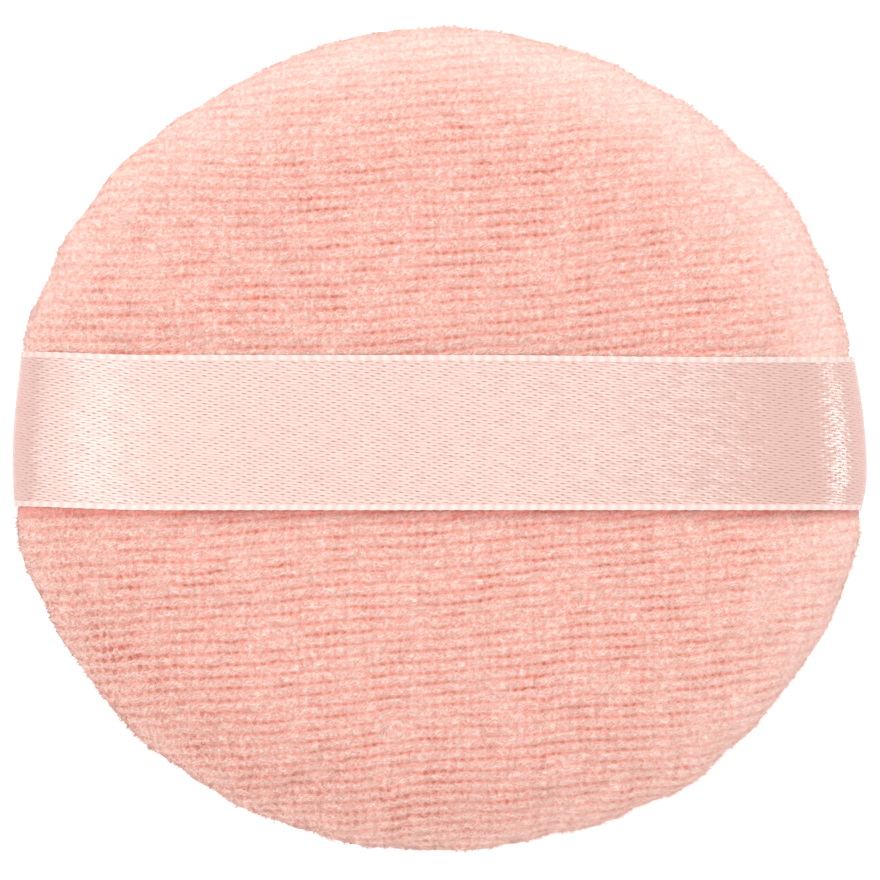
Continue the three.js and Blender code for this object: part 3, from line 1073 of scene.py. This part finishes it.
def ribbon_finish():
    """Woven satin: yarns painted lit on their crests and in shade in their valleys and dips, between two
    beaded selvedges.
    """
    material, wire, shader = new_finish("ribbon satin", Specular_IOR_Level=satin_gloss, IOR=satin_index)
    along, across = map_axes(wire, "weave")
    slub = cloth_noise(wire, along * slub_grain[0], across * slub_grain[1])
    yarn = (across + along * warp_skew + slub * slub_shift) / warp_pitch
    valley = wire.math("FLOOR", yarn + 0.5)
    from_valley = wire.math("ABSOLUTE", yarn - valley)
    crest = wire.math("SINE", from_valley * math.pi)
    float_place = wire.math("FRACT", along / float_length + valley * 0.5)
    float_end = step_up(wire, wire.math("ABSOLUTE", float_place - 0.5), *dip_reach)
    turned = step_up(wire, wire.math("ABSOLUTE", along), *turned_run)
    dip = float_end * (1 - step_up(wire, from_valley, *dip_width)) * (dip_share + slub * dip_slub)
    dip = dip * (1 - turned_smoothing * turned)
    yarn_number = wire.math("FLOOR", yarn)
    float_count = along / float_length + yarn_number * 0.5
    from_middle = (wire.math("FRACT", float_count) - 0.5) * 2
    float_number = wire.math("FLOOR", float_count)
    which_float = wire.node("ShaderNodeCombineXYZ", {}, {0: float_number, 1: yarn_number})
    chance = wire.node("ShaderNodeTexWhiteNoise", {"noise_dimensions": "2D"}, {"Vector": which_float})
    lie = from_middle * (chance - 0.5) * float_tilt - from_middle * from_middle * float_bulge
    edge = ribbon_width / 2 - wire.math("ABSOLUTE", across)
    inside = step_up(wire, edge, selvedge_width - selvedge_step, selvedge_width)
    stitch = wire.math("GREATER_THAN", wire.math("FRACT", along / float_length), stitch_start)
    off_line = wire.math("ABSOLUTE", edge - selvedge_width)
    stitch_line = stitch * (1 - step_up(wire, off_line, *stitch_width))
    bead = wire.math("SINE", along * (math.tau / picot_pitch)) * 0.5 + 0.5
    # Painted light in the weave: lit crests, shaded valleys and dips, and the deeper painted shade of the
    # turned ends and the stitch holes.
    body = wire.mixed(satin_valley_shade, satin_crest_lit, crest)
    body = wire.mixed(body, satin_dip_shade, wire.math("MAXIMUM", dip, 0.0))
    body = wire.mixed(body, satin_end_shade, turned * turned_tone)
    border = wire.mixed(selvedge_gap, selvedge_pale, bead * bead_tone + crest * (1 - bead_tone))
    colour = wire.mixed(border, body, inside)
    colour = wire.mixed(colour, satin_dip_shade, stitch_line * stitch_tone)
    height = (crest * crest_height + lie - dip * dip_depth + slub * slub_height) * inside
    height = height - stitch_line * stitch_depth + (1 - inside) * bead * bead_height
    roughness = selvedge_roughness - inside * (selvedge_roughness - satin_roughness)
    normal = relief(wire, height, **satin_relief)
    wire.plug(shader, {"Base Color": colour, "Roughness": roughness, "Normal": normal})
    return material


satin = ribbon_finish()
for name, hand in (("left", -1), ("right", 1)):
    half = ribbon_half(f"ribbon_{name}_half", hand)
    half.data.materials.append(satin)
    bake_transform(half)
    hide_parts("ribbon_band", f"ribbon_tail_{name}")


# Sewing threads: spun polyester, pink. Short running stitches stay the ribbon's ends on the back panel,
# a lockstitch of two threads joins the panels, and a hand stitch closes the gap left for turning.
thread_pink = (0.86, 0.45, 0.37, 1)
thread_pale = (0.94, 0.62, 0.54, 1)
thread_roughness = 0.6
twists_per_metre = 9000
thread_relief = {"strength": 0.4, "depth": 0.04}


def thread_finish():
    """Spun thread: two pinks, mixed by a fine twist that also stands in relief."""
    material, wire, shader = new_finish("sewing thread", Roughness=thread_roughness)
    place = wire.node("ShaderNodeTexCoord", {}, {}, "Object")
    twist = wire.node("ShaderNodeTexNoise", {}, {"Vector": place, "Scale": twists_per_metre, "Detail": 2})
    colour = wire.mixed(thread_pink, thread_pale, twist)
    wire.plug(shader, {"Base Color": colour, "Normal": relief(wire, twist, **thread_relief)})
    return material


spun_thread = thread_finish()
for node in (
    "ribbon_stay_stitch_left",
    "ribbon_stay_stitch_right",
    "seam_needle_thread",
    "seam_bobbin_thread",
    "closing_thread",
):
    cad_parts[node].data.materials.clear()
    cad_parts[node].data.materials.append(spun_thread)


# Foam core: a disc of open-cell polyurethane foam, pushed in through the turning gap. It fills the cover,
# and the two seam allowances press a groove round its edge.
core_low, core_high = (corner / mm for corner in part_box("sponge_core"))
core_segments = 160
core_rings = 140
core_crown_points = 300
core_groove = 1.95
core_groove_gap = 0.3
core_groove_radius = allowance_radius - core_groove_gap
cell_size = 0.9
cell_depth = 0.25
cell_paleness = 1.4
foam_cream = (0.93, 0.86, 0.74, 1)
foam_shade = (0.80, 0.70, 0.57, 1)
foam_roughness = 0.95
foam_relief = {"strength": 0.5, "depth": 0.2}


def core_half(rise, cut):
    """Half of the disc's section, from the middle of its crown, cut flat there, into its groove."""
    radius, height = crown_line(core_high.x, rise, core_crown_points)
    height = np.minimum(height, rise - cut)
    kept = height > core_groove
    return np.append(radius[kept], core_groove_radius), np.append(height[kept], core_groove)


def core_line():
    """The disc's section from the top of its crown, round its groove, to the bottom."""
    upper_radius, upper_height = core_half(core_high.z - seam_level, 0)
    lower_radius, lower_height = core_half(seam_level - core_low.z + resting_cut, resting_cut)
    radius = np.concatenate([upper_radius, lower_radius[::-1]])
    height = np.concatenate([upper_height, -lower_height[::-1]])
    run = run_along(radius, height)
    return run / run[-1], radius, height


bpy.ops.object.select_all(action="DESELECT")
bpy.ops.mesh.primitive_uv_sphere_add(segments=core_segments, ring_count=core_rings, radius=1)
core = bpy.context.object
core.name = "foam_core"
core.data.name = "foam_core"
ball = points_of(core)
ball_share = np.arccos(np.clip(ball[:, 2], -1, 1)) / math.pi
ball_angle = np.arctan2(ball[:, 1], ball[:, 0])
core_share, core_radius, core_height = core_line()
radius = np.interp(ball_share, core_share, core_radius)
level = seam_level + np.interp(ball_share, core_share, core_height)
core_points = [radius * np.cos(ball_angle), radius * np.sin(ball_angle) * narrowing, level]
move_points(core, np.stack(core_points, axis=1) * mm)
bpy.ops.object.shade_smooth()
cells = bpy.data.textures.new("foam cells", "VORONOI")
cells.noise_scale = cell_size * mm
pitting = core.modifiers.new("foam cells", "DISPLACE")
pitting.texture = cells
pitting.texture_coords = "LOCAL"
pitting.mid_level = 1
pitting.strength = cell_depth * mm
bpy.ops.object.modifier_apply(modifier=pitting.name)


def foam_finish():
    """Open-cell foam: pale walls round cells that are deeper in tone and pitted."""
    material, wire, shader = new_finish("open-cell foam", Roughness=foam_roughness)
    place = wire.node("ShaderNodeTexCoord", {}, {}, "Object")
    cell = wire.node("ShaderNodeTexVoronoi", {}, {"Vector": place, "Scale": 1 / (cell_size * mm)})
    wall = wire.math("MINIMUM", cell * cell_paleness, 1.0)
    colour = wire.mixed(foam_shade, foam_cream, wall)
    wire.plug(shader, {"Base Color": colour, "Normal": relief(wire, cell, **foam_relief)})
    return material


core.data.materials.append(foam_finish())
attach(core, "pad")
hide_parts("sponge_core")


# Studio: a white table, soft boxes above it, and a camera that looks straight down on the ribbon.
# The camera stands far off, and its lens takes in the frame's width at the height of the outline.
table_size = 6
table_white = (0.9, 0.9, 0.9, 1)
table_roughness = 0.9
table_gloss = 0.1
table_glow = 0.5
room_light = (0.50, 0.39, 0.375, 1)
black = (0, 0, 0, 1)
white = (1, 1, 1, 1)
frame_width = 85.44
camera_height = 2000.0
camera_offset = 0.18
outline_level = 9.0


def white_when_seen(wire, otherwise):
    """White to the camera and in gleams and glass, and another colour to all other light."""
    rays = ("Is Camera Ray", "Is Glossy Ray", "Is Transmission Ray")
    seen = sum(wire.node("ShaderNodeLightPath", {}, {}, ray) for ray in rays)
    return wire.mixed(otherwise, white, wire.math("MINIMUM", seen, 1.0))


bpy.ops.object.select_all(action="DESELECT")
bpy.ops.mesh.primitive_plane_add(size=table_size)
table = bpy.context.object
table.name = "table"
table_finish, wire, shader = new_finish(
    "white table", Roughness=table_roughness, Specular_IOR_Level=table_gloss
)
glow = white_when_seen(wire, black)
wire.plug(shader, {"Base Color": table_white, "Emission Strength": table_glow, "Emission Color": glow})
table.data.materials.append(table_finish)

world = bpy.data.worlds.new("studio")
world.use_nodes = True
bpy.context.scene.world = world
room = Wire(world.node_tree)
background = world.node_tree.nodes["Background"]
room.plug(background, {"Color": white_when_seen(room, room_light), "Strength": 1})


def soft_box(name, direction, size, power, gleams):
    """A lamp one metre off that faces the puff from a compass angle and a height, both in degrees.

    Its width and length are in metres and its power in watts. Only a lamp that gleams shows in the satin.
    """
    compass, height = (math.radians(angle) for angle in direction)
    flat = math.cos(height)
    place = (flat * math.cos(compass), flat * math.sin(compass), math.sin(height))
    bpy.ops.object.light_add(type="AREA", location=place)
    lamp = bpy.context.object
    lamp.name = name
    lamp.data.shape = "RECTANGLE"
    lamp.data.energy = power
    lamp.data.size, lamp.data.size_y = size
    lamp.rotation_euler = (math.pi / 2 - height, 0, compass + math.pi / 2)
    lamp.visible_camera = False
    lamp.visible_glossy = gleams


soft_box("key_box", direction=(70, 34), size=(0.6, 0.6), power=4.15, gleams=False)
soft_box("fill_box", direction=(-80, 18), size=(0.8, 0.4), power=2.3, gleams=False)
soft_box("top_box", direction=(180, 65), size=(0.4, 1.4), power=4.85, gleams=True)
soft_box("gleam_box", direction=(180, 61), size=(0.5, 0.2), power=0.8, gleams=True)
soft_box("left_box", direction=(180, 24), size=(0.3, 0.3), power=0.6, gleams=True)
soft_box("side_strip", direction=(0, 22), size=(0.2, 0.24), power=1.5, gleams=True)

bpy.ops.object.camera_add(location=(0, camera_offset * mm, camera_height * mm), rotation=(0, 0, 0))
camera = bpy.context.object
camera.data.lens = camera.data.sensor_width * (camera_height - outline_level) / frame_width
bpy.context.scene.camera = camera
bpy.context.scene.view_settings.view_transform = "Standard"
